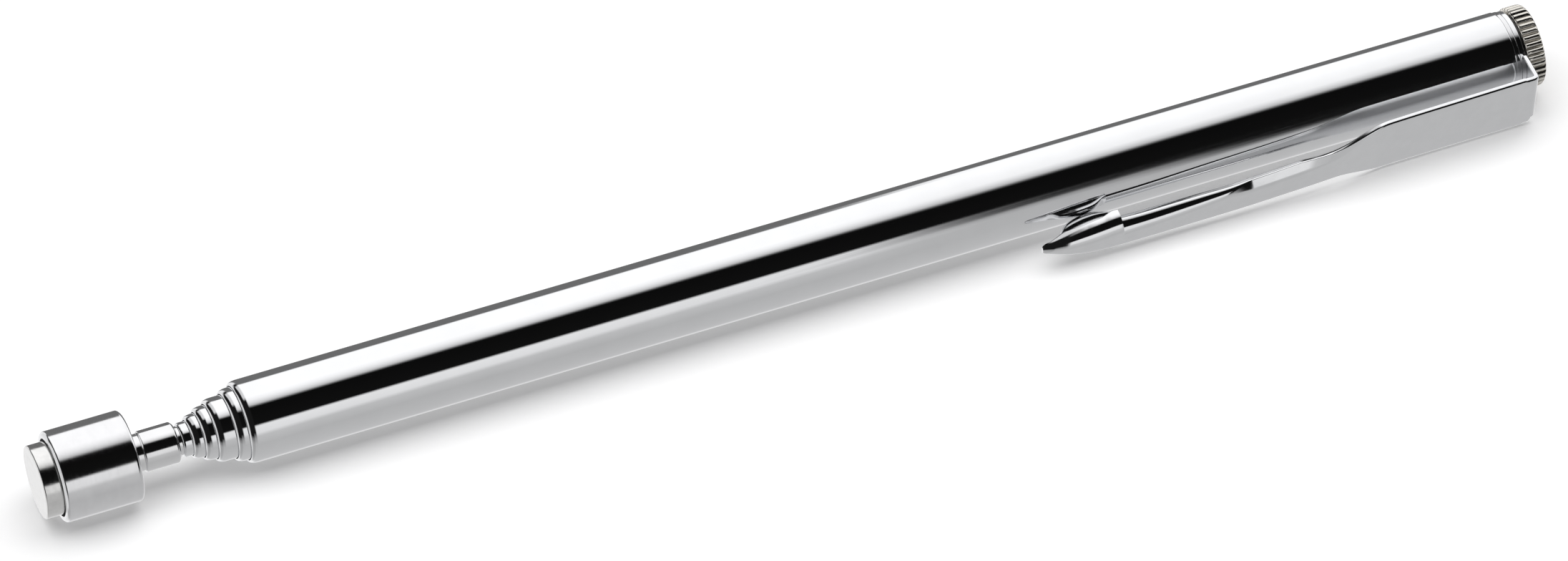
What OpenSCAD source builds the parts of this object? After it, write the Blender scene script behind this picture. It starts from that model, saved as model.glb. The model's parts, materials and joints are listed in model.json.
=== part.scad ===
// Pocket telescopic magnetic pick-up tool, pen type, drawn pushed together.
//
// Frame: +X points out of the magnet's face, the way the tool extends, and the origin is the
// middle of that face. +Z is up. The tool lies on its side with its pocket clip towards +Y.
// All lengths are in mm. A "depth" is a distance behind the magnet's face, so x = -depth.
// Tube 1 is the thinnest section, next to the magnet. Tube 5 is the thickest, and tube 6 is
// the barrel. Each section slides in the next tube and can be spun in it.

/* [Telescoping tubes] */
// Outside diameter of the barrel
barrel_d = 7; // [6.8:0.1:7.4]
// Difference in outside diameter between one tube and the next
tube_step = 0.82; // [0.8:0.01:0.84]
// Wall thickness of every tube
tube_wall = 0.22; // [0.2:0.01:0.24]
// Depth of each tube's front edge, from the thinnest section to the barrel
front_depths = [12.34, 13.11, 14.0, 14.98, 16.52, 17.47]; // [12:0.01:18]
// Depth of the barrel's rear end
barrel_rear = 130.2; // [120:0.1:140]
// Length over which a tube's front edge is rolled inwards
roll_len = 0.75; // [0.6:0.05:0.85]
// Thickness of the rolled edge where it ends
roll_edge = 0.08; // [0.06:0.01:0.1]

/* [Section ends] */
// Length of each brass stop bush
bush_len = 3; // [2:0.5:5]
// Length of each friction spring
spring_len = 4.8; // [3:0.2:7]
// Width of the slit along each friction spring
spring_slit = 0.6; // [0.3:0.1:1]
// Length of the collar swaged on each section's rear end
collar_len = 0.9; // [0.7:0.1:1.5]
// Space between the sections' rear ends and the barrel's end plug
rear_space = 0.5; // [0.3:0.1:3]

/* [Magnet head] */
// Diameter of the magnet
magnet_d = 6.2; // [5.6:0.1:6.3]
// Length of the magnet
magnet_len = 5; // [3:0.5:5.5]
// Outside diameter of the steel cup that holds the magnet
cup_d = 7.7; // [7.4:0.1:9]
// Diameter of the cup's pocket
pocket_d = 6.6; // [6.5:0.1:6.8]
// Depth of the cup's front rim, so the magnet stands this far out of the cup
cup_front = 1.47; // [1:0.05:1.6]
// Depth of the cup's rear face
cup_rear = 7.84; // [7.6:0.1:8]
// Diameter of the turned neck
neck_d = 3.46; // [3.2:0.1:3.8]
// Diameter of the thinner ring between the cup and the neck
ring_d = 3.14; // [2.8:0.1:3.2]
// Depth of the step from the thinner ring to the neck
neck_front = 8.97; // [8.6:0.1:9.4]
// Depth of the neck's rear face
neck_rear = 12.04; // [11.6:0.02:12.1]
// Length of the spigot that the thinnest section is pressed on
spigot_len = 6; // [4:0.5:10]

/* [Pocket clip] */
// Thickness of the clip's spring sheet
clip_sheet = 0.45; // [0.4:0.05:0.5]
// Angle of the clip about the tool's axis, from level
clip_angle = -7.5; // [-15:0.5:15]
// Reach of the clip's outer face from the axis at the bend
clip_reach = 6; // [5.9:0.05:6.1]
// Width of the arm at the bend
clip_width = 5.5; // [5.2:0.1:5.8]
// Distance that the boss lies to one side of the middle of the bend
clip_lean = 0.9; // [0:0.1:1]
// Depth where the arm starts to narrow
waist_start = 116.5; // [114:0.5:118]
// Depth where the arm has become narrow
waist_end = 112.2; // [110:0.2:113]
// Depth of the clip's nose
nose_depth = 86; // [85.4:0.2:86.6]

/* [End cap] */
// Diameter over the cap's knurl
cap_d = 7.1; // [6.9:0.1:7.2]
// Thickness of the cap's knurled disc
cap_len = 1.6; // [1.2:0.1:2.4]
// Number of teeth in the knurl
knurl_teeth = 36; // [24:1:42]
// Depth of the grooves between the teeth
knurl_depth = 0.14; // [0.08:0.02:0.2]
// Diameter of the cap's threaded stud
stud_d = 3; // [2.6:0.1:3.4]
// Length of the stud from the cap's face
stud_len = 4.6; // [3:0.2:5]

/* [Hidden] */
$fn = 96;

barrel = 6;            // number of the outermost tube
guide_gap = 0.03;      // radial clearance of a section in the rolled edge around it
bush_gap = 0.02;       // radial clearance of a stop bush in the tube around it
spring_gap = 0.01;     // radial clearance of a friction spring in the tube around it
spin_gap = 0.03;       // radial clearance of a section in its friction spring
end_play = 0.05;       // lengthwise clearance at each end of a friction spring
thread_gap = 0.05;     // radial clearance of the cap's stud in its holes
roll_steps = 8;        // straight pieces in a rolled edge or rounded corner

resin_t = 0.15;        // resin behind the magnet
resin_front = 1.95;    // depth where the resin around the magnet ends
magnet_round = 0.14;   // rounding of the magnet's edge
cup_bevel = 0.35;      // bevel of the cup's front edge
cup_rear_bevel = 0.2;  // bevel of the cup's rear edge
rivet_d = 2;           // spigot that holds the neck in the cup
neck_bevel = 0.2;      // bevel of the neck's edges

plug_len = 4.2;        // length of the end plug inside the barrel
plug_flange_t = 0.4;   // thickness of the end plug's flange
plug_flange_d = 6.9;   // diameter of the end plug's flange
washer_t = 0.2;        // thickness of the washer under the cap
washer_d = 5.8;        // diameter of the washer under the cap
clip_washer_d = 6.8;   // diameter of the clip's own washer
cap_bevel = 0.22;      // bevel of the cap's rear edge

plug_rear = barrel_rear + plug_flange_t;
clip_rear = plug_rear + clip_sheet;
cap_front = clip_rear + washer_t;
cap_rear = cap_front + cap_len;
section_rear = barrel_rear - plug_len - rear_space;
spring_rear = section_rear - collar_len - end_play;
bush_rear = spring_rear - spring_len - end_play;
hole_r = stud_d / 2 + thread_gap;
pocket_floor = magnet_len + resin_t;

bend_r = 0.55;                      // outer radius of the clip's bend
flex_depth = clip_rear - 2;         // where the clip's arm starts to flex
flex_gap = 0.02;                    // gap between the clip's two halves
shoulder_reach = 2.95;              // reach where the tab beside the clip's washer starts
waist_reach = 6.02;                 // reach of the outer face where the arm starts to narrow
narrow_reach = 6.45;                // reach where it has become narrow
boss_reach = 6.75;                  // reach behind the boss that bears on the barrel
boss_depth = nose_depth + 7;        // depth of the boss's rear shoulder
boss_gap = 0.01;                    // the boss just clears the barrel, which it presses on
waist_width = 5.15;                 // width where the arm starts to narrow
narrow_width = 3;                   // width where it has become narrow
boss_width = 2.6;                   // width of the boss
corner_r = 0.6;                     // rounding of the lower corner at the bend

function outer_r(k) = (barrel_d - (barrel - k) * tube_step) / 2;
function bore_r(k) = outer_r(k) - tube_wall;
// Radius of the opening that a tube's rolled edge leaves for the section inside it.
function opening_r(k) = outer_r(k - 1) + guide_gap;
// A quarter of an ellipse from a point on the front edge back to the full radius.
function rolled(edge_r, full_r, depth, len) = [
    for (i = [0 : roll_steps]) let (a = 90 * i / roll_steps)
        [edge_r + (full_r - edge_r) * sin(a), depth + len * (1 - cos(a))]
];

// A turned shape on the tool's axis, from points of [radius, depth].
module turned(points) {
    rotate([0, 90, 0]) rotate_extrude() polygon([for (p = points) [p[0], -p[1]]]);
}

// The front of a telescoping tube, rolled in around the section that slides in it.
function tube_front(k) = concat(
    [[bore_r(k), front_depths[k - 1] + roll_len],
     [opening_r(k), front_depths[k - 1] + roll_len / 2],
     [opening_r(k), front_depths[k - 1]]],
    rolled(opening_r(k) + roll_edge, outer_r(k), front_depths[k - 1], roll_len)
);

// The rear end of a section, with the collar that keeps its friction spring on.
function section_end(k) = [
    [outer_r(k), section_rear - collar_len],
    [bore_r(k + 1) - 2 * bush_gap, section_rear - collar_len + 0.05],
    [bore_r(k + 1) - 2 * bush_gap, section_rear],
    [bore_r(k), section_rear]
];

module section(k) {
    color("silver") turned(concat(tube_front(k), section_end(k)));
}

// The thinnest section isn't rolled in: its plain rounded end is pressed on the neck's spigot.
module thinnest_section() {
    front = front_depths[0];
    color("silver") turned(concat(
        [[bore_r(1), front]],
        rolled(bore_r(1) + roll_edge, outer_r(1), front, roll_len / 3),
        section_end(1)
    ));
}

module stop_bush(k) {
    color("goldenrod") turned([
        [outer_r(k), bush_rear - bush_len],
        [bore_r(k + 1) - bush_gap, bush_rear - bush_len],
        [bore_r(k + 1) - bush_gap, bush_rear],
        [outer_r(k), bush_rear]
    ]);
}

module friction_spring(k) {
    turn_per_section = 72;
    color("peru") difference() {
        turned([
            [outer_r(k) + spin_gap, spring_rear - spring_len],
            [bore_r(k + 1) - spring_gap, spring_rear - spring_len],
            [bore_r(k + 1) - spring_gap, spring_rear],
            [outer_r(k) + spin_gap, spring_rear]
        ]);
        rotate([turn_per_section * k, 0, 0])
            translate([-spring_rear - 1, 0, -spring_slit / 2])
                cube([spring_len + 2, barrel_d, spring_slit]);
    }
}

module barrel_tube() {
    color("silver") turned(concat(
        tube_front(barrel),
        [[outer_r(barrel), barrel_rear], [bore_r(barrel), barrel_rear]]
    ));
}

module end_plug() {
    color("gainsboro") turned([
        [hole_r, barrel_rear - plug_len],
        [bore_r(barrel), barrel_rear - plug_len],
        [bore_r(barrel), barrel_rear],
        [plug_flange_d / 2, barrel_rear],
        [plug_flange_d / 2, plug_rear],
        [hole_r, plug_rear]
    ]);
}

module magnet() {
    r = magnet_d / 2;
    color("lightgray") turned(concat(
        [[0, 0]],
        rolled(r - magnet_round, r, 0, magnet_round),
        [[r, magnet_len], [0, magnet_len]]
    ));
}

// The resin that the magnet is bonded with, around its side and behind it.
module magnet_resin() {
    color("dimgray") turned([
        [0, magnet_len], [magnet_d / 2, magnet_len], [magnet_d / 2, resin_front],
        [pocket_d / 2, resin_front], [pocket_d / 2, pocket_floor], [0, pocket_floor]
    ]);
}

module magnet_cup() {
    r = cup_d / 2;
    color("gainsboro") turned([
        [pocket_d / 2, cup_front],
        [r - cup_bevel, cup_front],
        [r, cup_front + cup_bevel],
        [r, cup_rear - cup_rear_bevel],
        [r - cup_rear_bevel, cup_rear],
        [rivet_d / 2, cup_rear],
        [rivet_d / 2, pocket_floor],
        [pocket_d / 2, pocket_floor]
    ]);
}

// The turned piece between the cup, which is riveted on its front, and the thinnest section.
module neck() {
    rivet_end = 0.1;
    color("silver") turned([
        [0, pocket_floor + rivet_end],
        [rivet_d / 2, pocket_floor + rivet_end],
        [rivet_d / 2, cup_rear],
        [ring_d / 2, cup_rear],
        [ring_d / 2, neck_front],
        [neck_d / 2 - neck_bevel / 2, neck_front],
        [neck_d / 2, neck_front + neck_bevel / 2],
        [neck_d / 2, neck_rear - neck_bevel],
        [neck_d / 2 - neck_bevel, neck_rear],
        [bore_r(1), neck_rear],
        [bore_r(1), neck_rear + spigot_len],
        [0, neck_rear + spigot_len]
    ]);
}

// Side view of the clip's sheet as [x, reach]: up the tab, round the bend and along the arm.
module clip_side() {
    arc = [for (i = [0 : roll_steps]) 90 * i / roll_steps];
    inner_r = bend_r - clip_sheet;
    bend_x = -clip_rear + bend_r;
    bend_y = clip_reach - bend_r;
    polygon(concat(
        [[-clip_rear, 0]],
        [for (a = arc) [bend_x - bend_r * cos(a), bend_y + bend_r * sin(a)]],
        [[-waist_start, waist_reach], [-waist_end, narrow_reach], [-boss_depth, boss_reach],
         [-boss_depth, boss_reach - clip_sheet],
         [-waist_end, narrow_reach - clip_sheet], [-waist_start, waist_reach - clip_sheet]],
        [for (a = arc) [bend_x - inner_r * sin(a), bend_y + inner_r * cos(a)]],
        [[-clip_rear + clip_sheet, 0]]
    ));
}

// Side view of the boss at the arm's end, which curves down to the barrel.
module boss_side() {
    contact = outer_r(barrel) + boss_gap;
    polygon([
        [-boss_depth, boss_reach], [-nose_depth - 4.2, boss_reach - 0.03],
        [-nose_depth - 1.7, boss_reach - 0.2], [-nose_depth, boss_reach - 0.55],
        [-nose_depth, boss_reach - 1.3], [-nose_depth - 1.4, boss_reach - 2],
        [-nose_depth - 2.9, contact + 0.35], [-nose_depth - 4.2, contact],
        [-nose_depth - 6.2, contact], [-nose_depth - 6.8, contact + 0.4],
        [-boss_depth, contact + 1.1], [-boss_depth, boss_reach - clip_sheet]
    ]);
}

// Half of the arm's outline, seen from outside, as [x, distance from the middle].
half_outline = [
    [-waist_start, waist_width / 2], [-waist_end, narrow_width / 2],
    [-boss_depth, boss_width / 2], [-nose_depth - 3, boss_width / 2],
    [-nose_depth - 1.2, boss_width * 0.4], [-nose_depth, boss_width * 0.22]
];

// Middle of the arm at x, which leans down from where it starts to narrow to the boss.
function middle(x) =
    -clip_lean * max(0, min(1, (x + waist_start) / (waist_start - boss_depth)));

// Keeps what lies inside the clip's outline, between two depths.
module clip_outline(from_depth, to_depth) {
    upper = [for (p = half_outline) [p[0], middle(p[0]) + p[1]]];
    last = len(half_outline) - 1;
    lower = [for (i = [0 : last]) let (p = half_outline[last - i]) [p[0], middle(p[0]) - p[1]]];
    bend_x = -clip_rear + bend_r;
    corner = [for (i = [0 : roll_steps]) let (a = 90 * i / roll_steps)
        [bend_x + corner_r * (1 - sin(a)), -clip_width / 2 + corner_r * (1 - cos(a))]];
    intersection() {
        rotate([90, 0, 0]) linear_extrude(4 * clip_reach, center = true)
            polygon(concat([[-clip_rear, clip_width / 2]], upper, lower, corner,
                           [[-clip_rear, -clip_width / 2 + corner_r]]));
        translate([-to_depth, -2 * clip_reach, -clip_width])
            cube([to_depth - from_depth, 4 * clip_reach, 2 * clip_width]);
    }
}

// The part of the clip that the cap clamps: its washer, its tab and the bend.
module clip_foot() {
    color("silver") rotate([clip_angle, 0, 0]) difference() {
        union() {
            turned([
                [0, plug_rear], [clip_washer_d / 2, plug_rear],
                [clip_washer_d / 2, clip_rear], [0, clip_rear]
            ]);
            intersection() {
                linear_extrude(2 * clip_width, center = true) difference() {
                    clip_side();
                    translate([-clip_rear - 1, -1]) square([3, shoulder_reach + 1]);
                }
                clip_outline(flex_depth + flex_gap / 2, clip_rear);
            }
        }
        turned([[0, plug_rear - 1], [hole_r, plug_rear - 1],
                [hole_r, clip_rear + 1], [0, clip_rear + 1]]);
    }
}

// The springy arm of the clip, with the boss that presses on the barrel.
module clip_arm() {
    color("silver") rotate([clip_angle, 0, 0]) intersection() {
        linear_extrude(2 * clip_width, center = true) {
            clip_side();
            boss_side();
        }
        clip_outline(nose_depth - 1, flex_depth - flex_gap / 2);
    }
}

module cap_washer() {
    color("dimgray") turned([
        [hole_r, clip_rear], [washer_d / 2, clip_rear],
        [washer_d / 2, cap_front], [hole_r, cap_front]
    ]);
}

module knurled_cap() {
    r = cap_d / 2;
    groove_w = 0.38 * PI * cap_d / knurl_teeth;
    stud_end = 0.3;
    color("darkkhaki") difference() {
        turned([
            [0, cap_front - stud_len],
            [stud_d / 2 - stud_end, cap_front - stud_len],
            [stud_d / 2, cap_front - stud_len + stud_end],
            [stud_d / 2, cap_front],
            [r - cap_bevel / 2, cap_front],
            [r, cap_front + cap_bevel / 2],
            [r, cap_rear - cap_bevel],
            [r - cap_bevel, cap_rear],
            [0, cap_rear]
        ]);
        for (tooth = [0 : knurl_teeth - 1])
            rotate([360 * tooth / knurl_teeth, 0, 0])
                translate([-cap_rear - 1, r - knurl_depth, -groove_w / 2])
                    cube([cap_len + 2, 1, groove_w]);
    }
}

magnet();
magnet_resin();
magnet_cup();
neck();
thinnest_section();  // section_1
section(2);  // section_2
section(3);  // section_3
section(4);  // section_4
section(5);  // section_5
stop_bush(1);  // stop_bush_1
stop_bush(2);  // stop_bush_2
stop_bush(3);  // stop_bush_3
stop_bush(4);  // stop_bush_4
stop_bush(5);  // stop_bush_5
friction_spring(1);  // friction_spring_1
friction_spring(2);  // friction_spring_2
friction_spring(3);  // friction_spring_3
friction_spring(4);  // friction_spring_4
friction_spring(5);  // friction_spring_5
barrel_tube();
end_plug();
clip_foot();
clip_arm();
cap_washer();
knurled_cap();
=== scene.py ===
"""Pocket telescopic magnetic pick-up tool, pushed together, lying on a pale studio floor.

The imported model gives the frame: +X out of the magnet's face, +Z up, clip towards +Y, metres.
Sizes below are in millimetres, as in the design, and become metres where a mesh is made.
A "depth" is a distance behind the magnet's face, so x = -depth.
"""

import json
import math

import bmesh
import bpy
from mathutils import Matrix, Vector


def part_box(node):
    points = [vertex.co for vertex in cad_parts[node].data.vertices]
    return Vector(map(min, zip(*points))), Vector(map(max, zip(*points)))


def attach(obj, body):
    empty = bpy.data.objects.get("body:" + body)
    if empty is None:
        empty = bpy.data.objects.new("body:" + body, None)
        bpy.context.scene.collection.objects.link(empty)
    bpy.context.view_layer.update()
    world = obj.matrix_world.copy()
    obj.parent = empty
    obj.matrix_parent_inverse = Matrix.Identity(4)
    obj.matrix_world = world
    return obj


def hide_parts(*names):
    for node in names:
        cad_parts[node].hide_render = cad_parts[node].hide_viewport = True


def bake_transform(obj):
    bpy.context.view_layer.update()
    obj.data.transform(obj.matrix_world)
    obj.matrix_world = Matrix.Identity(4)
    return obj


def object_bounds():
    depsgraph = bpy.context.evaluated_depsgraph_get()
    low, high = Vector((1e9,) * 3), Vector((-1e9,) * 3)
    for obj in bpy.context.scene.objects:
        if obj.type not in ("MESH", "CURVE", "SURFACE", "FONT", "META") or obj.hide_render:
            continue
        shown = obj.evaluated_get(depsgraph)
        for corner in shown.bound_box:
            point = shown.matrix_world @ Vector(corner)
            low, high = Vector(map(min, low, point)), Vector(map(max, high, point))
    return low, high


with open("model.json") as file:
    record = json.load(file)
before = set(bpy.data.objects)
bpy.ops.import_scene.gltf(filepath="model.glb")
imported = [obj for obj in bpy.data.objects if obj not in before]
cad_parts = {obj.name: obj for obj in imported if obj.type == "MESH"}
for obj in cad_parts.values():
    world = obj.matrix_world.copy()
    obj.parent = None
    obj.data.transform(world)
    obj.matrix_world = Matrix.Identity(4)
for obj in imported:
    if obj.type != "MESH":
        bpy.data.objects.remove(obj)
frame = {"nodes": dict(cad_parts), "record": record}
cad_low, cad_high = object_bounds()

MM = 0.001


# ---------------------------------------------------------------- sizes from the frame

def front_depth(node):
    """Depth of a node's front end, in mm."""
    return -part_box(node)[1][0] / MM


def rear_depth(node):
    """Depth of a node's rear end, in mm."""
    return -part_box(node)[0][0] / MM


def outer_radius(node):
    """Radius of a round node on the tool's axis, in mm."""
    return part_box(node)[1][2] / MM


def side_radius(node):
    """A round node's reach to its side, in mm, which its flat facets make a little smaller."""
    return -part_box(node)[0][1] / MM


BARREL_R = outer_radius("barrel_tube")
TUBE_STEP = 0.82          # difference in diameter from one tube to the next
TUBE_WALL = 0.22
GUIDE_GAP = 0.07          # radial clearance of a section in the rolled edge around it
ROLL_LEN = 0.75           # length of a tube's rolled-in front edge
ROLL_EDGE = 0.1
CUP_LONGER = 0.3          # the cup's rear face stands this far behind the design's
RIVET_R = 1.0             # the neck's spigot through the cup's floor
COLLAR_LEN = 0.9          # swaged collar on a section's rear end
COLLAR_GAP = 0.04         # radial clearance of the collar in the tube around it
BARREL = 6                # number of the outermost tube

CLIP_ANGLE = math.radians(-7.5)
CLIP_SHEET = 0.45
SHEET_EDGE = 0.05         # small bevel on the sheet's inner edges
BEND_R = 0.55
HOLE_R = 1.55             # hole in the clip's washer and the end plug
STUD_R = 1.5
THREAD_PITCH = 0.5
THREAD_DEPTH = 0.15
KNURL_TEETH = 36
KNURL_DEPTH = 0.24


def tube_radius(k):
    return BARREL_R - (BARREL - k) * TUBE_STEP / 2


# ---------------------------------------------------------------- mesh tools

ON_AXIS = 1e-6            # a radius so small that its points merge on the axis
MERGE_M = 1e-7            # points nearer than this, in metres, become one
SUPPORT = 0.05            # from a hard edge to the point that keeps the surface beside it straight
ROUNDING_SHARE = 0.47     # most of a side's length that one rounding takes
SUPPORT_SHARE = 0.49      # most of a side's length up to the point beside a rounding
SUPPORT_AT = 1.3          # that point's distance from the corner, in roundings


def make_object(name, verts, faces, sharp_angle=38):
    """A smooth-shaded mesh object from points in mm."""
    mesh = bpy.data.meshes.new(name)
    mesh.from_pydata([Vector(v) * MM for v in verts], [], faces)
    bm = bmesh.new()
    bm.from_mesh(mesh)
    bmesh.ops.remove_doubles(bm, verts=bm.verts, dist=MERGE_M)
    bmesh.ops.recalc_face_normals(bm, faces=bm.faces)
    bm.to_mesh(mesh)
    bm.free()
    for polygon in mesh.polygons:
        polygon.use_smooth = True
    mesh.set_sharp_from_angle(angle=math.radians(sharp_angle))
    mesh.update()
    obj = bpy.data.objects.new(name, mesh)
    bpy.context.scene.collection.objects.link(obj)
    return obj


def ring_grid(rings, closed_along=True):
    """Quads between successive rings of equal length."""
    count = len(rings[0])
    verts = [p for ring in rings for p in ring]
    faces = []
    spans = len(rings) if closed_along else len(rings) - 1
    for i in range(spans):
        here, there = i * count, ((i + 1) % len(rings)) * count
        for j in range(count):
            k = (j + 1) % count
            faces.append((here + j, here + k, there + k, there + j))
    return verts, faces


def lathe_points(outline, segments):
    """Rings of points about the tool's axis, from an outline of (radius, depth)."""
    turns = [2 * math.pi * j / segments for j in range(segments)]
    return [[(-depth, r * math.cos(a), r * math.sin(a)) for a in turns] for r, depth in outline]


def lathe(name, outline, segments=192):
    """A turned piece. The outline is closed, and ON_AXIS as a radius closes it on the axis."""
    verts, faces = ring_grid(lathe_points(outline, segments))
    return make_object(name, verts, faces)


def rounded(corners, steps=5):
    """An outline of (radius, depth) from corners of (radius, depth, rounding).

    A point just outside each rounding keeps the long surfaces' shading straight.
    """
    out = []
    n = len(corners)
    for i, (r, d, size) in enumerate(corners):
        if size <= 0:
            out.append((r, d))
            continue
        here = Vector((r, d))
        before = Vector(corners[i - 1][:2]) - here
        after = Vector(corners[(i + 1) % n][:2]) - here
        ways = (before, after)
        start, end = [here + way.normalized() * min(size, way.length * ROUNDING_SHARE)
                      for way in ways]
        outer = [here + way.normalized() * min(size * SUPPORT_AT, way.length * SUPPORT_SHARE)
                 for way in ways]
        out.append(tuple(outer[0]))
        for s in range(steps + 1):
            t = s / steps
            p = start * (1 - t) ** 2 + here * (2 * t * (1 - t)) + end * t ** 2
            out.append((p.x, p.y))
        out.append(tuple(outer[1]))
    return out


def rolled_edge(edge_r, full_r, depth, length):
    """A quarter of an ellipse from a point on a tube's front edge back to its full radius."""
    out = []
    steps = 14
    for i in range(steps + 1):
        a = math.pi / 2 * i / steps
        out.append((edge_r + (full_r - edge_r) * math.sin(a), depth + length * (1 - math.cos(a))))
    return out


# ---------------------------------------------------------------- the tubes and the head

def tube_front(k, front):
    """Inside and front of a tube whose edge is rolled in around the next section."""
    opening = tube_radius(k - 1) + GUIDE_GAP
    edge = 0.03
    inside = [(tube_radius(k) - TUBE_WALL, front + ROLL_LEN), (opening, front + ROLL_LEN / 2)]
    nose = [(opening, front + edge), (opening + edge * 0.3, front + edge * 0.3),
            (opening + edge, front)]
    roll = rolled_edge(opening + ROLL_EDGE, tube_radius(k), front, ROLL_LEN)
    return inside + nose + roll + [(tube_radius(k), front + ROLL_LEN + SUPPORT)]


def section_end(k, rear):
    """Collar swaged on the rear end of a section."""
    collar = tube_radius(k + 1) - TUBE_WALL - COLLAR_GAP
    r, bore = tube_radius(k), tube_radius(k) - TUBE_WALL
    slope, edge = 0.05, 0.03
    return [(r, rear - COLLAR_LEN - SUPPORT), (r, rear - COLLAR_LEN),
            (collar, rear - COLLAR_LEN + slope), (collar, rear - edge), (collar - edge, rear),
            (bore, rear)]


def make_section(k):
    node = f"section_{k}"
    front, rear = front_depth(node), rear_depth(node)
    if k == 1:
        bore = tube_radius(1) - TUBE_WALL
        face = [(bore, front)] + rolled_edge(bore + ROLL_EDGE, tube_radius(1), front, ROLL_LEN / 3)
    else:
        face = tube_front(k, front)
    return lathe(f"tube_{k}", face + section_end(k, rear), 160)


def make_barrel():
    front, rear = front_depth("barrel_tube"), rear_depth("barrel_tube")
    bore = BARREL_R - TUBE_WALL
    edge, middle, support = 0.06, 0.018, 0.1
    end = [(BARREL_R, rear - support), (BARREL_R, rear - edge),
           (BARREL_R - middle, rear - middle), (BARREL_R - edge, rear), (bore, rear)]
    return lathe("barrel_shell", tube_front(BARREL, front) + end, 256)


def make_end_plug():
    front, rear = front_depth("end_plug"), rear_depth("end_plug")
    flange_r, bore = outer_radius("end_plug"), BARREL_R - TUBE_WALL
    flange_front = rear_depth("barrel_tube")
    return lathe("plug_insert", rounded([
        (HOLE_R, front, 0.1), (bore, front, 0.1), (bore, flange_front, 0),
        (flange_r, flange_front, 0.06), (flange_r, rear, 0.06), (HOLE_R, rear, 0.05)]), 160)


def make_magnet():
    r, rear = outer_radius("magnet"), rear_depth("magnet")
    front_edge, rear_edge, steps = 0.14, 0.1, 8
    return lathe("magnet_slug", rounded([
        (ON_AXIS, 0, 0), (r / 2, 0, 0), (r, 0, front_edge), (r, rear, rear_edge),
        (ON_AXIS, rear, 0)], steps))


def make_cup():
    node = "magnet_cup"
    r, front, rear = side_radius(node), front_depth(node), rear_depth(node) + CUP_LONGER
    pocket_r, bevel, floor = 3.3, 0.2, 5.15
    soft, rear_soft = 0.1, 0.12
    return lathe("cup_shell", rounded([
        (pocket_r, front, 0.04), (r - bevel, front, soft), (r, front + bevel, soft),
        (r, rear - bevel, rear_soft), (r - bevel, rear, rear_soft), (RIVET_R, rear, 0),
        (RIVET_R, floor, 0), (pocket_r, floor, 0.1)]), 256)


def make_neck():
    front, rear = front_depth("neck"), rear_depth("neck")
    cup_rear = rear_depth("magnet_cup") + CUP_LONGER
    ring_r, neck_r, spigot_r = 1.57, 1.73, tube_radius(1) - TUBE_WALL
    step, shoulder, bevel = 8.97, 12.04, 0.2
    return lathe("neck_adapter", rounded([
        (ON_AXIS, front, 0), (RIVET_R, front, 0.1), (RIVET_R, cup_rear, 0), (ring_r, cup_rear, 0),
        (ring_r, step, 0.03), (neck_r - bevel / 2, step, 0.05), (neck_r, step + bevel / 2, 0.06),
        (neck_r, shoulder - bevel, 0.08), (neck_r - bevel, shoulder, 0.05),
        (spigot_r, shoulder, 0.03), (spigot_r, rear, 0.15), (ON_AXIS, rear, 0)]), 160)


# ---------------------------------------------------------------- the knurled cap

def tooth_radius(angle, r):
    """Radius of the knurl at an angle: rounded teeth between narrow V grooves."""
    narrowing, curve = 1.25, 1.6
    phase = (angle * KNURL_TEETH / (2 * math.pi)) % 1.0
    from_groove = min(phase, 1 - phase) * 2
    return r - KNURL_DEPTH * (1 - min(1.0, from_groove * narrowing)) ** curve


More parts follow.
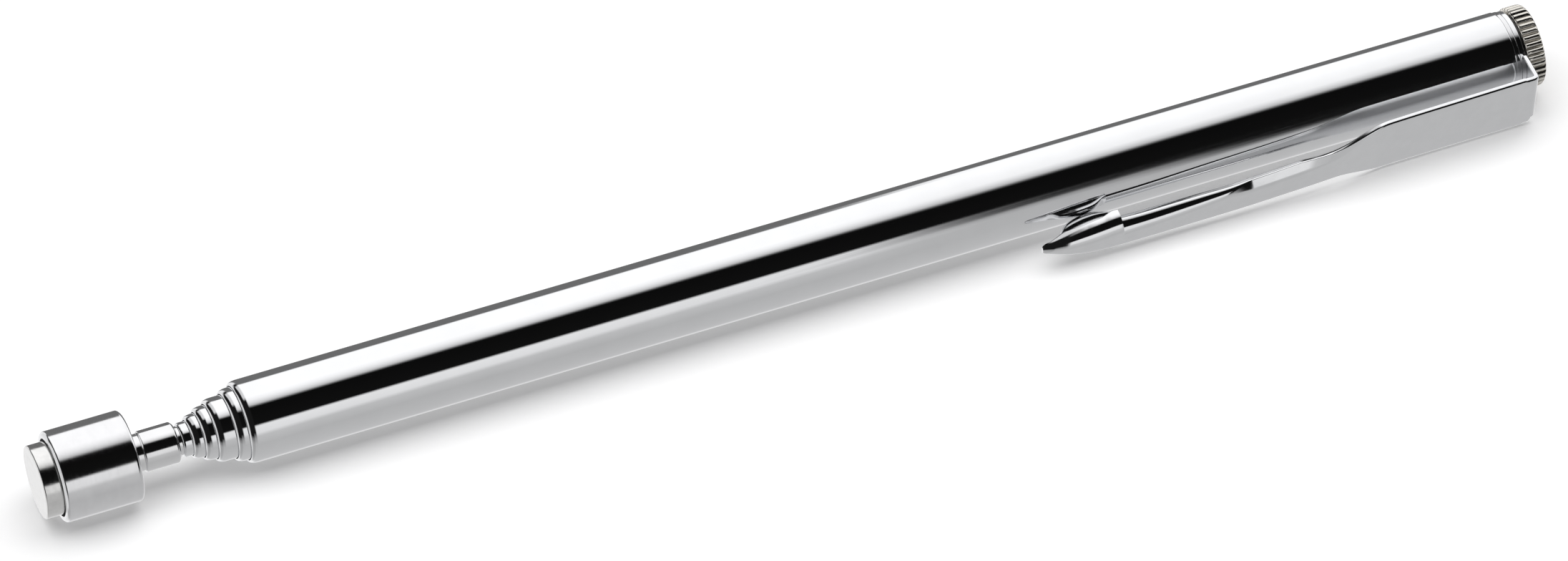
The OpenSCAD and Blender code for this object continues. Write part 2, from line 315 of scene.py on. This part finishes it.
def make_cap():
    """The knurled disc and its threaded stud, two closed shapes in one mesh."""
    node = "knurled_cap"
    rear = rear_depth(node)
    front = rear_depth("cap_washer")
    r = outer_radius(node)
    front_bevel, bevel, per_tooth = 0.14, 0.3, 12
    count = KNURL_TEETH * per_tooth
    turns = [2 * math.pi * j / count for j in range(count)]

    def knurl_ring(depth, cut, smooth=0.0):
        ring = []
        for a in turns:
            radius = min(tooth_radius(a, r), r - cut)
            radius = radius * (1 - smooth) + (r - cut) * smooth
            ring.append((-depth, radius * math.cos(a), radius * math.sin(a)))
        return ring

    def round_ring(depth, radius):
        return [(-depth, radius * math.cos(a), radius * math.sin(a)) for a in turns]

    straight = front + front_bevel
    rings = [round_ring(front, ON_AXIS), round_ring(front, r - 0.5),
             knurl_ring(front, front_bevel, 0.3), knurl_ring(front + 0.03, 0.07),
             knurl_ring(front + 0.09, 0.02), knurl_ring(straight, 0.0)]
    rings += [knurl_ring(straight + (rear - bevel - front - front_bevel) * i / 4, 0.0)
              for i in range(1, 5)]
    steps = 7
    for i in range(1, steps + 1):
        a = math.pi / 2 * i / steps
        rings.append(knurl_ring(rear - bevel * (1 - math.sin(a)), bevel * (1 - math.cos(a)),
                                0.25 * i / steps))
    hollow = 0.02
    rings += [round_ring(rear, r - bevel - 0.1), round_ring(rear - 0.015, r - 0.75),
              round_ring(rear - hollow, 1.0), round_ring(rear - hollow, ON_AXIS)]
    verts, faces = ring_grid(rings, closed_along=False)

    stud_front, root = front_depth(node), front + 0.3
    lead_in, lead_depth, sides, per_turn = 0.35, 0.25, 96, 10
    rows = round((front - stud_front) / THREAD_PITCH * per_turn)
    stud = [[(-stud_front, ON_AXIS, 0)] * sides]
    for i in range(rows + 1):
        depth = stud_front + (front - stud_front) * i / rows
        lead = min(1.0, (depth - stud_front) / lead_in)
        ring = []
        for j in range(sides):
            a = 2 * math.pi * j / sides
            wave = abs(((depth / THREAD_PITCH + j / sides) % 1.0) * 2 - 1)
            radius = STUD_R - THREAD_DEPTH * wave - lead_depth * (1 - lead)
            ring.append((-depth, radius * math.cos(a), radius * math.sin(a)))
        stud.append(ring)
    stud.append([(-root, y, z) for _, y, z in stud[-1]])
    stud.append([(-root, ON_AXIS, 0)] * sides)
    stud_verts, stud_faces = ring_grid(stud, closed_along=False)
    offset = len(verts)
    faces += [tuple(v + offset for v in f) for f in stud_faces]
    return make_object("cap_disc", verts + stud_verts, faces, 42)


# ---------------------------------------------------------------- the pocket clip

CLIP_REAR = rear_depth("clip_foot")
CLIP_REACH = 5.72         # reach of the clip's outer face at the bend
NOSE = front_depth("clip_arm")
CLIP_WIDTH = 5.5
SHOULDER = 2.95           # reach where the tab beside the clip's washer starts
WASHER_R = 3.4
CORNER_R = 0.6            # rounding of the lower corner at the bend
BOSS_REAR = NOSE + 7.05   # where the boss steps down to the arm
NEAR_BOSS = 94.5          # depth from which the arm's sections are close together
BAND_FRONT, BAND_REAR = 99, 119   # depths between which the arm widens, and they are close too
ARM_START = 0.2           # from the rounded lower corner to the arm's first section
REAR_INSET = 0.005        # keeps the sheet's rear face just off the washer's


def along(points, depth):
    """Smooth interpolation in a list of (depth, value), deepest first, with no overshoot."""
    rises = [(v1 - v0) / (d1 - d0) for (d0, v0), (d1, v1) in zip(points, points[1:])]
    slopes = [rises[0]]
    for before, after in zip(rises, rises[1:]):
        slopes.append(2 * before * after / (before + after) if before * after > 0 else 0.0)
    slopes.append(rises[-1])
    for i, ((d0, v0), (d1, v1)) in enumerate(zip(points, points[1:])):
        if depth >= d1:
            span = d1 - d0
            t = max(0.0, (depth - d0) / span)
            return ((1 + 2 * t) * (1 - t) ** 2 * v0 + t * (1 - t) ** 2 * span * slopes[i]
                    + t * t * (3 - 2 * t) * v1 + t * t * (t - 1) * span * slopes[i + 1])
    return points[-1][1]


# How the arm changes from the bend to the nose, as (depth, value) in mm or degrees: its outer
# face's reach and its upper and lower edges.
REACH = [(131, 5.72), (117.5, 5.84), (115.5, 6.0), (113.4, 6.2), (111.5, 6.38), (109.5, 6.44),
         (102.6, 6.5), (94, 6.55), (91, 6.55), (88.5, 6.42), (87, 6.15), (86, 5.75)]
UPPER = [(131, 2.86), (124, 2.76), (117.2, 2.68), (111.8, 1.3), (102.6, 0.62), (94, 0.22),
         (93.06, 0.22), (93.04, 0.74), (91.5, 0.58), (90, 0.38), (88.6, 0.15), (87.6, -0.05),
         (86.8, -0.25), (86.3, -0.42), (86, -0.6)]
LOWER = [(131, -2.86), (124, -2.82), (117.2, -2.82), (111.8, -1.8), (102.6, -2.05), (94, -2.06),
         (91, -2.1), (89.5, -2.0), (88.3, -1.8), (87.4, -1.6), (86.6, -1.4), (86.2, -1.25),
         (86, -1.1)]
# The outer face's bend near its upper edge, the flat facet after it, and the edges' roundings.
CROWN_R = [(131, 0.8), (93.06, 0.75), (93.04, 1.1), (88, 1.0), (86.6, 0.6), (86, 0.22)]
CROWN_ANGLE = [(131, 0), (116, 0), (114, 5), (112, 16), (110.5, 28), (109, 38), (104.8, 38),
                (103, 28), (101.5, 24), (86, 24)]
FACET = [(131, 0), (116, 0), (114, 0.4), (112, 0.62), (104.8, 0.6), (103.6, 0.35), (102.4, 0.05),
         (101.5, 0), (86, 0)]
EDGE_R = [(131, 0.2), (116, 0.2), (113, 0.1), (109, 0.05), (104.8, 0.08), (103.6, 0.35),
          (102.4, 0.62), (98, 0.98), (93.06, 1.25), (93.04, 1.35), (88, 1.1), (86.6, 0.55),
          (86, 0.15)]
LOWER_EDGE_R = [(131, 0.2), (94, 0.25), (90, 0.5), (87, 0.6), (86, 0.2)]
# Height of the turned-in lip under the arm's edges.
LIP = [(131, 0.44), (114, 0.44), (111, 0.7), (102.6, 0.9), (95, 1.15), (93.06, 1.15), (93.04, 1.7),
       (92.6, 1.72), (91.9, 1.55), (91.2, 1.35), (90.4, 1.32), (88.3, 1.34), (87.4, 0.97),
       (86.6, 0.56), (86.2, 0.3), (86, 0.2)]
# Distance from the tool's axis to the dome that presses on the barrel.
DOME = [(93.05, 4.7), (92.7, 4.5), (92.4, 4.2), (92, 3.85), (91.6, 3.6), (91.1, 3.47),
        (90.4, 3.44), (89.6, 3.56), (88.9, 3.8), (88.4, 4.15), (88.1, 4.6), (87.9, 4.95),
        (87.4, 5.2), (86.6, 5.4), (86, 5.5)]
DOME_WIDTH = 0.84         # share of the arm's width
# Height of the undercut below the arm's upper side, which leans in towards the arm's middle.
UNDERCUT = [(131, 0), (116, 0), (113, 0.14), (110, 0.26), (102.6, 0.38), (95, 0.46), (93.06, 0.46),
            (93.04, 0), (86, 0)]
UNDERCUT_LEAN = 0.55      # how far it leans in, as a share of its height
UNDERCUT_TURN = 0.32      # how much it shortens the rounding above it, radians per mm


def half_outside(half, crown_r, crown_angle, facet, edge_r, lip, undercut=0.0):
    """One side of the sheet's outer face as (across, inwards): flat, bend, facet, edge, side.

    The undercut leans in below the side, so that it shows as a narrow dark line.
    """
    flat_steps, bend_steps, edge_steps, side_steps = 3, 6, 9, 3
    widest, least_side = 0.96, 0.12
    bevel_v, bevel_d = 0.015, 0.02
    bend = math.radians(crown_angle)
    turn = math.pi / 2 - undercut * UNDERCUT_TURN
    size = crown_r * math.sin(bend) + facet * math.cos(bend) + edge_r * (1 - math.sin(bend))
    shrink = min(1.0, half * widest / size)
    crown_r, facet, edge_r = crown_r * shrink, facet * shrink, edge_r * shrink
    flat = half - size * shrink
    out = [(flat * i / flat_steps, 0.0) for i in range(flat_steps)]
    for i in range(bend_steps + 1):
        a = bend * i / bend_steps
        out.append((flat + crown_r * math.sin(a), crown_r * (1 - math.cos(a))))
    v0, d0 = out[-1][0] + facet * math.cos(bend), out[-1][1] + facet * math.sin(bend)
    for i in range(edge_steps + 1):
        a = bend + (turn - bend) * i / edge_steps
        out.append((v0 + edge_r * (math.sin(a) - math.sin(bend)),
                    d0 + edge_r * (math.cos(bend) - math.cos(a))))
    v, d = out[-1]
    lip = max(lip, d + least_side + undercut)
    side, lean = lip - SHEET_EDGE - undercut, undercut * UNDERCUT_LEAN
    out += [(v, d + (side - d) * i / side_steps) for i in range(1, side_steps + 1)]
    out += [(v - lean * share, side + undercut * share) for share in (0.12, 0.9)]
    out += [(v - lean - bevel_v, lip - bevel_d), (v - lean - SHEET_EDGE, lip)]
    return out


def half_inside(half, lip, bottom, fill):
    """One side of the inner face, from the edge to the middle, with a dome where fill is 1."""
    out = []
    steps, beside_edge, lip_width, lip_curve = 20, 0.985, 0.25, 5
    thickness = CLIP_SHEET - 0.01
    for share in [1, beside_edge] + [1 - i / steps for i in range(1, steps + 1)]:
        v = (half - SHEET_EDGE - lip_width * (1 - fill) * (share < beside_edge)) * share
        hollow = thickness + (lip - thickness) * share ** lip_curve
        solid = lip + max(0.0, bottom - lip) * math.sqrt(max(0.0, 1 - (share / DOME_WIDTH) ** 2))
        out.append((v, hollow * (1 - fill) + solid * fill))
    return out


def sheet_loop(half, crown_r=0.8, crown_angle=0.0, facet=0.0, edge_r=0.2, lower_edge_r=0.2,
               lip=0.44, undercut=0.0, bottom=0.44, fill=0.0):
    """Closed cross-section of the clip's sheet as (across, inwards)."""
    sides = []
    for outside in (half_outside(half, crown_r, crown_angle, facet, edge_r, lip, undercut),
                    half_outside(half, 0.1, 0, 0, lower_edge_r, lip)):
        inside = half_inside(outside[-1][0] + SHEET_EDGE, outside[-1][1], bottom, fill)
        sides.append(outside + inside[1:])
    upper, lower = sides
    return upper + [(-v, d) for v, d in reversed(lower[1:-1])]


def clip_ring(x, reach, inward, loop, middle=0.0):
    """Places a cross-section: inward is the direction of the sheet's inner face in (x, reach)."""
    out = Vector((0, math.cos(CLIP_ANGLE), math.sin(CLIP_ANGLE)))
    up = Vector((0, -math.sin(CLIP_ANGLE), math.cos(CLIP_ANGLE)))
    return [tuple(Vector((x + inward[0] * d, 0, 0)) + out * (reach + inward[1] * d)
                  + up * (v + middle)) for v, d in loop]


def cut_lower(loop, floor):
    """Keeps a cross-section above a line across it, for the rounded lower corner."""
    return [(max(v, floor), d) for v, d in loop]


def arm_ring(depth):
    """The arm's cross-section at a depth. In front of BOSS_REAR it is filled by the dome."""
    reach, boss = along(REACH, depth), depth < BOSS_REAR
    upper, lower = along(UPPER, depth), along(LOWER, depth)
    loop = sheet_loop((upper - lower) / 2, along(CROWN_R, depth), along(CROWN_ANGLE, depth),
                      along(FACET, depth), along(EDGE_R, depth), along(LOWER_EDGE_R, depth),
                      along(LIP, depth), along(UNDERCUT, depth), reach - along(DOME, depth),
                      1.0 if boss else 0.0)
    nearby, tilt = 0.2, 0.4
    slope = (along(REACH, depth - nearby) - along(REACH, depth + nearby)) / (2 * nearby)
    inward = (0, -1) if boss else Vector((slope * tilt, -1)).normalized()
    return clip_ring(-depth, reach, inward, loop, (upper + lower) / 2)


def arm_depths(start):
    """Depths of the arm's cross-sections, closer where it changes fast and at the boss."""
    fine, coarse, nose_gap = 0.12, 0.8, 0.02
    just_behind, just_before = BOSS_REAR + 0.03, BOSS_REAR - 0.01
    depths = []
    depth = start
    while depth > NOSE + nose_gap:
        depths.append(depth)
        step = fine if depth < NEAR_BOSS or BAND_FRONT < depth < BAND_REAR else coarse
        if BOSS_REAR < depth < BOSS_REAR + step:
            depth = just_behind if depth > BOSS_REAR + 0.04 else just_before
        else:
            depth -= step
    return depths


def make_clip():
    """Washer, tab, bend, arm and boss, as one piece of sheet."""
    rings = []
    half = CLIP_WIDTH / 2
    corner = -half + CORNER_R
    rear = -CLIP_REAR + REAR_INSET
    tab = sheet_loop(half)
    for reach, narrower in [(HOLE_R + 0.2, 1.1), (SHOULDER - 0.02, 1.1), (SHOULDER, 0.12),
                            (SHOULDER + 0.03, 0.03), (SHOULDER + 0.12, 0.0), (4.3, 0.0),
                            (CLIP_REACH - BEND_R, 0.0)]:
        loop = cut_lower(sheet_loop(half - narrower), corner)
        rings.append(clip_ring(rear, reach, (1, 0), loop))
    steps = 8
    for i in range(1, steps + 1):
        a = math.pi / 2 * i / steps
        x = rear + BEND_R * (1 - math.cos(a))
        reach = CLIP_REACH - BEND_R + BEND_R * math.sin(a)
        rings.append(clip_ring(x, reach, (math.cos(a), -math.sin(a)), cut_lower(tab, corner)))

    bend_depth = CLIP_REAR - BEND_R
    for i in range(1, steps + 1):
        a = math.pi / 2 * i / steps
        x = -bend_depth + CORNER_R * (1 - math.cos(a))
        rings.append(clip_ring(x, CLIP_REACH, (0, -1),
                               cut_lower(tab, -half + CORNER_R * (1 - math.sin(a)))))
    rings += [arm_ring(depth) for depth in arm_depths(bend_depth - CORNER_R - ARM_START)]
    verts, faces = ring_grid(rings, closed_along=False)
    last = len(verts) - len(rings[0])
    faces.append(tuple(range(len(rings[0]))))
    faces.append(tuple(range(last, len(verts))))

    front = CLIP_REAR - CLIP_SHEET
    washer = rounded([(HOLE_R, front, 0.05), (WASHER_R, front, 0.06),
                      (WASHER_R, CLIP_REAR, 0.06), (HOLE_R, CLIP_REAR, 0.05)])
    washer_verts, washer_faces = ring_grid(lathe_points(washer, 160))
    offset = len(verts)
    faces += [tuple(v + offset for v in f) for f in washer_faces]
    return make_object("pocket_clip", verts + washer_verts, faces, 40)


# ---------------------------------------------------------------- materials

NOISE_FROM, NOISE_TO = 0.3, 0.7   # the part of a noise's range that is used
FACING, NOT_FACING = -0.97, -0.85 # y of the normals of the clip's inner face, and of the others
MIX_FACTOR, MIX_A, MIX_B, MIX_RESULT = 0, 6, 7, 2   # the colour sockets of a Mix node


class Nodes:
    """A short way to build a node material."""

    def __init__(self, name):
        self.material = bpy.data.materials.new(name)
        self.material.use_nodes = True
        self.tree = self.material.node_tree
        self.tree.nodes.clear()
        self.out = self.add("ShaderNodeOutputMaterial")
        self.shader = self.add("ShaderNodeBsdfPrincipled")
        self.link(self.shader, "BSDF", self.out, "Surface")
        self.coords = self.add("ShaderNodeTexCoord")

    def add(self, kind):
        return self.tree.nodes.new(kind)

    def link(self, a, out, b, into):
        self.tree.links.new(a.outputs[out], b.inputs[into])

    def stretched(self, scale):
        """Object coordinates in mm, scaled along each axis."""
        mapping = self.add("ShaderNodeMapping")
        mapping.inputs["Scale"].default_value = [s / MM for s in scale]
        self.link(self.coords, "Object", mapping, "Vector")
        return mapping

    def noise(self, scale, detail, rough=0.6):
        """Noise whose features are 1/scale mm long on each axis."""
        mapping = self.stretched(scale)
        node = self.add("ShaderNodeTexNoise")
        node.inputs["Scale"].default_value = 1.0
        node.inputs["Detail"].default_value = detail
        node.inputs["Roughness"].default_value = rough
        self.link(mapping, "Vector", node, "Vector")
        return node

    def ramp(self, source, low, high):
        """Turns a noise into colours between low and high."""
        node = self.add("ShaderNodeValToRGB")
        first, last = node.color_ramp.elements
        first.position, last.position = NOISE_FROM, NOISE_TO
        first.color, last.color = (*low, 1), (*high, 1)
        self.link(source, "Fac", node, "Fac")
        return node

    def spread(self, source, low, high):
        """Turns a noise into numbers between low and high."""
        node = self.add("ShaderNodeMapRange")
        node.inputs["From Min"].default_value = NOISE_FROM
        node.inputs["From Max"].default_value = NOISE_TO
        node.inputs["To Min"].default_value = low
        node.inputs["To Max"].default_value = high
        self.link(source, "Fac", node, "Value")
        return node

    def facing_barrel(self, elsewhere, value):
        """One number where the clip looks at the barrel, -Y, and a node's numbers elsewhere."""
        split = self.add("ShaderNodeSeparateXYZ")
        self.link(self.coords, "Normal", split, "Vector")
        node = self.add("ShaderNodeMapRange")
        node.inputs["From Min"].default_value = FACING
        node.inputs["From Max"].default_value = NOT_FACING
        node.inputs["To Min"].default_value = value
        self.link(elsewhere, "Result", node, "To Max")
        self.link(split, "Y", node, "Value")
        return node

    def bump(self, source, strength, distance_mm):
        node = self.add("ShaderNodeBump")
        node.inputs["Strength"].default_value = strength
        node.inputs["Distance"].default_value = distance_mm * MM
        self.link(source, "Fac", node, "Height")
        return node

    def finish(self, shade, rough, height):
        """Joins a colour, a roughness and a bump to the shader."""
        self.link(shade, "Color", self.shader, "Base Color")
        self.link(rough, "Result", self.shader, "Roughness")
        self.link(height, "Normal", self.shader, "Normal")
        return self.material


def plated(name, colour, dip, roughness, grain, bump, wear=(0.35, 0.35, 0.35), inside=None):
    """Bright plated metal.

    The colour dips by a share in cloudy patches, whose (x, y, z) frequency per mm is the wear.
    The roughness is a range, and the grain is the frequency of the fine lines that set it. The
    bump is those lines' strength and height. The inside is the roughness of an unpolished face.
    """
    m = Nodes(name)
    m.shader.inputs["Metallic"].default_value = 1.0
    lines = m.noise(grain, 5.0, 0.65)
    clouds = m.noise(wear, 3.0, 0.55)
    shade = m.ramp(clouds, [c * (1 - dip) for c in colour], colour)
    rough = m.spread(lines, *roughness)
    if inside:
        rough = m.facing_barrel(rough, inside)
    return m.finish(shade, rough, m.bump(lines, *bump))


def bonded(name):
    """Dark, grainy bonding resin."""
    m = Nodes(name)
    grain = m.noise((5, 5, 5), 5.0, 0.6)
    shade = m.ramp(grain, (0.012, 0.012, 0.013), (0.035, 0.035, 0.037))
    return m.finish(shade, m.spread(grain, 0.45, 0.7), m.bump(grain, 0.3, 0.02))


def make_materials():
    """One finish per slot of the record."""
    chrome = (0.83, 0.835, 0.845)
    return {
        "tube_chrome": plated("tube_chrome", chrome, 0.03, (0.035, 0.075), (0.05, 9, 9),
                              (0.05, 0.002)),
        "clip_chrome": plated("clip_chrome", chrome, 0.03, (0.05, 0.1), (0.6, 2, 2),
                              (0.08, 0.004), (0.8, 0.8, 0.8), 0.42),
        "neck_chrome": plated("neck_chrome", (0.82, 0.82, 0.825), 0.05, (0.06, 0.13),
                              (16, 0.2, 0.2), (0.10, 0.004)),
        "cup_chrome": plated("cup_chrome", (0.82, 0.82, 0.83), 0.05, (0.06, 0.16),
                             (18, 0.25, 0.25), (0.12, 0.005), (1.2, 0.6, 0.6)),
        "plug_chrome": plated("plug_chrome", (0.78, 0.78, 0.79), 0.05, (0.07, 0.14),
                              (14, 0.3, 0.3), (0.1, 0.004)),
        "magnet_nickel": plated("magnet_nickel", (0.8, 0.795, 0.785), 0.08, (0.1, 0.2),
                                (3, 1.2, 1.2), (0.14, 0.006), (1.5, 1.5, 1.5)),
        "cap_nickel": plated("cap_nickel", (0.8, 0.77, 0.71), 0.15, (0.14, 0.26),
                             (2, 12, 12), (0.2, 0.006), (2, 2, 2)),
        "washer_steel": plated("washer_steel", (0.22, 0.22, 0.23), 0.2, (0.3, 0.5),
                               (6, 6, 6), (0.2, 0.006), (2, 2, 2)),
        "brass": plated("brass", (0.78, 0.58, 0.27), 0.12, (0.16, 0.3),
                        (10, 0.4, 0.4), (0.2, 0.006), (1.5, 1.5, 1.5)),
        "bronze": plated("bronze", (0.66, 0.4, 0.2), 0.18, (0.18, 0.34),
                         (0.3, 8, 8), (0.2, 0.006), (1.5, 1.5, 1.5)),
        "resin": bonded("resin"),
    }


def build():
    """Detailed pieces over the CAD nodes; each rides on its body, except the clip, which is
    attached to none.
    """
    mats = make_materials()
    slots = {s["node"]: s["material_slot"] for s in frame["record"]["subparts"]}
    bodies = {n: b for b, nodes in frame["record"]["behaviour"]["bodies"].items() for n in nodes}

    def place(piece, node):
        piece.data.materials.append(mats[slots[node]])
        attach(piece, bodies[node])
        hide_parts(node)

    place(make_barrel(), "barrel_tube")
    for k in range(1, BARREL):
        place(make_section(k), f"section_{k}")
    place(make_end_plug(), "end_plug")
    place(make_magnet(), "magnet")
    place(make_cup(), "magnet_cup")
    place(make_neck(), "neck")
    place(make_cap(), "knurled_cap")

    clip = make_clip()
    clip.data.materials.append(mats["clip_chrome"])
    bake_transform(clip)
    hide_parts("clip_foot", "clip_arm")

    for name, node in frame["nodes"].items():
        node.data.materials.clear()
        node.data.materials.append(mats[slots[name]])


# ---------------------------------------------------------------- stage, light and camera

TILT = math.radians(14.1)      # how far the tool's axis turns out of the picture plane
SLANT = math.radians(16.38)    # slope of the tool in the picture
ROUND = math.radians(46.5)     # where the camera stands round the axis, up from level
DISTANCE = 810.2               # from the camera to the aim, mm
FOCAL_PX = 13700.0             # focal length in pixels of a picture PICTURE_W wide
PICTURE_W = 2192
SENSOR = 36.0
AIM_DEPTH = 64.81              # point on the axis near the picture's middle
AIM_OFF = (0.39, -1.33)        # from that point to the picture's middle, right and up, mm

# What the plating reflects, by direction round the tool's axis: 0 is level on the camera's
# side, 90 is overhead, 180 is level behind. Pairs of degrees and brightness.
LIGHT_RING = [(-180, 0.17), (-150, 0.16), (-142, 0.8), (-112, 0.8), (-102, 0.6), (-30, 0.52),
              (-4, 0.6), (6, 0.86), (24, 0.92), (29, 0.006), (76, 0.004), (79, 0.1), (84, 0.6),
              (90, 0.86), (98, 1.08), (108, 1.22), (161, 1.22), (166, 0.17), (180, 0.17)]
# The same towards the tool's rear, where the lower light ends, in two steps.
REAR_LOWER = [(-180, 0.17), (-150, 0.16), (-142, 0.8), (-112, 0.8), (-102, 0.6), (-30, 0.52)]
REAR_UPPER = [(74, 0.004), (77, 0.07), (80, 0.27), (84, 0.6), (92, 0.86), (101, 1.08),
              (140, 1.22), (172, 1.22), (177, 0.17), (180, 0.17)]
MIDDLE_RING = REAR_LOWER + [(0, 0.5), (8, 0.36), (13, 0.08), (18, 0.006)] + REAR_UPPER
REAR_RING = REAR_LOWER + [(-12, 0.5), (-8, 0.46), (-3, 0.2), (3, 0.03), (7, 0.006)] + REAR_UPPER
# The same towards the tool's front, where the upper and lower lights end, and past its end.
FRONT_RING = [(-180, 1.0), (-110, 1.0), (-95, 0.6), (-25, 0.5), (-8, 0.35), (8, 0.01), (100, 0.01),
              (110, 0.75), (158, 0.75), (164, 0.02), (172, 0.02), (180, 1.0)]
OUTER_RING = [(-180, 0.9), (-110, 0.9), (-95, 0.5), (-25, 0.4), (-10, 0.2), (0, 0.01),
              (166, 0.01), (180, 0.9)]
END_RING = [(-180, 0.9), (-30, 0.8), (20, 0.7), (100, 0.75), (180, 0.9)]
# How far a direction leans to the front, +X, where each ring starts and has fully replaced the
# one before it. REAR_RING comes first.
LAYERS = [(MIDDLE_RING, -0.29, -0.278), (LIGHT_RING, -0.262, -0.25), (FRONT_RING, -0.06, 0.02),
          (OUTER_RING, 0.15, 0.23), (END_RING, 0.6, 0.7)]
BACKDROP = (0.97, 0.97, 0.975, 1)
SURROUND = (0.02, 0.02, 0.02, 1)   # the world as the floor sees it, so the key light shades it

FLOOR_HALF = 2500.0
FLOOR_GAP = 0.01                   # between the object's lowest point and the floor
KEY_PLACE, KEY_AIM = Vector((-0.06, -0.16, 1.5)), Vector((-0.06, 0, 0))   # metres
KEY_SIZE, KEY_POWER = (3.2, 1.6), 38.5   # metres, watts


def make_camera():
    """The photo's view: from above and a little in front, with the tool's front to the left."""
    axis = Vector((1, 0, 0))
    side = Vector((0, math.cos(ROUND), math.sin(ROUND)))
    over = Vector((0, -math.sin(ROUND), math.cos(ROUND)))
    across = axis * -math.cos(TILT) + side * math.sin(TILT)
    right = across * math.cos(SLANT) - over * math.sin(SLANT)
    up = across * math.sin(SLANT) + over * math.cos(SLANT)
    back = axis * math.sin(TILT) + side * math.cos(TILT)
    aim = Vector((-AIM_DEPTH, 0, 0)) + right * AIM_OFF[0] + up * AIM_OFF[1]
    data = bpy.data.cameras.new("camera")
    data.sensor_width = SENSOR
    data.lens = FOCAL_PX * SENSOR / PICTURE_W
    data.clip_start, data.clip_end = 0.01, 20
    cam = bpy.data.objects.new("camera", data)
    turn = Matrix((right, up, back)).transposed().to_4x4()
    cam.matrix_world = Matrix.Translation((aim + back * DISTANCE) * MM) @ turn
    bpy.context.scene.collection.objects.link(cam)
    bpy.context.scene.camera = cam


def make_world():
    """A ring of soft light round the tool's axis, and a plain pale backdrop to the camera."""
    world = bpy.data.worlds.new("studio")
    bpy.context.scene.world = world
    world.use_nodes = True
    tree = world.node_tree
    tree.nodes.clear()
    new, link = tree.nodes.new, tree.links.new
    coords = new("ShaderNodeTexCoord")
    split = new("ShaderNodeSeparateXYZ")
    link(coords.outputs["Generated"], split.inputs[0])
    angle = new("ShaderNodeMath")
    angle.operation = "ARCTAN2"
    link(split.outputs["Z"], angle.inputs[0])
    link(split.outputs["Y"], angle.inputs[1])
    place = new("ShaderNodeMapRange")
    place.inputs["From Min"].default_value = -math.pi
    place.inputs["From Max"].default_value = math.pi
    link(angle.outputs[0], place.inputs["Value"])

    def ramp(levels):
        node = new("ShaderNodeValToRGB")
        link(place.outputs["Result"], node.inputs["Fac"])
        elements = node.color_ramp.elements
        while len(elements) < len(levels):
            elements.new(0.5)
        for element, (degrees, level) in zip(elements, levels):
            element.position = (degrees + 180) / 360
            element.color = (level, level, level * 1.005, 1)
        return node.outputs["Color"]

    light = ramp(REAR_RING)
    for levels, start, end in LAYERS:
        share = new("ShaderNodeMapRange")
        share.inputs["From Min"].default_value = start
        share.inputs["From Max"].default_value = end
        link(split.outputs["X"], share.inputs["Value"])
        layer = new("ShaderNodeMix")
        layer.data_type = "RGBA"
        link(share.outputs["Result"], layer.inputs[MIX_FACTOR])
        link(light, layer.inputs[MIX_A])
        link(ramp(levels), layer.inputs[MIX_B])
        light = layer.outputs[MIX_RESULT]
    ring = new("ShaderNodeBackground")
    link(light, ring.inputs["Color"])
    pale = new("ShaderNodeBackground")
    pale.inputs["Color"].default_value = BACKDROP
    dark = new("ShaderNodeBackground")
    dark.inputs["Color"].default_value = SURROUND
    path = new("ShaderNodeLightPath")
    mirrored = new("ShaderNodeMixShader")
    link(path.outputs["Is Glossy Ray"], mirrored.inputs["Fac"])
    link(dark.outputs[0], mirrored.inputs[1])
    link(ring.outputs[0], mirrored.inputs[2])
    mix = new("ShaderNodeMixShader")
    link(path.outputs["Is Camera Ray"], mix.inputs["Fac"])
    link(mirrored.outputs[0], mix.inputs[1])
    link(pale.outputs[0], mix.inputs[2])
    out = new("ShaderNodeOutputWorld")
    link(mix.outputs[0], out.inputs["Surface"])


def make_floor():
    """The pale floor that the cup and the clip's corner rest on.

    The plating doesn't reflect it.
    """
    z = cad_low[2] / MM - FLOOR_GAP
    corners = [(-1, -1), (1, -1), (1, 1), (-1, 1)]
    floor = make_object("floor", [(FLOOR_HALF * x, FLOOR_HALF * y, z) for x, y in corners],
                        [(0, 1, 2, 3)])
    m = Nodes("floor")
    speckle = m.noise((0.02, 0.02, 0.02), 3.0)
    shade = m.ramp(speckle, (0.86, 0.86, 0.865), (0.88, 0.88, 0.885))
    m.link(shade, "Color", m.shader, "Base Color")
    m.shader.inputs["Emission Color"].default_value = (1, 1, 1, 1)
    m.shader.inputs["Emission Strength"].default_value = 0.25
    m.shader.inputs["Roughness"].default_value = 0.9
    m.shader.inputs["Specular IOR Level"].default_value = 0.1
    floor.data.materials.append(m.material)
    floor.visible_glossy = False


def make_key_light():
    """The soft light overhead that shades the floor. The plating doesn't reflect it."""
    data = bpy.data.lights.new("key", "AREA")
    data.shape = "RECTANGLE"
    data.size, data.size_y = KEY_SIZE
    data.energy = KEY_POWER
    light = bpy.data.objects.new("key", data)
    light.location = KEY_PLACE
    light.rotation_mode = "QUATERNION"
    light.rotation_quaternion = (KEY_AIM - KEY_PLACE).to_track_quat("-Z", "Y")
    light.visible_glossy = False
    bpy.context.scene.collection.objects.link(light)


make_camera()
build()
make_world()
make_floor()
make_key_light()

scene = bpy.context.scene
scene.view_settings.view_transform = "Standard"
scene.view_settings.look = "None"
scene.view_settings.exposure = 0.0
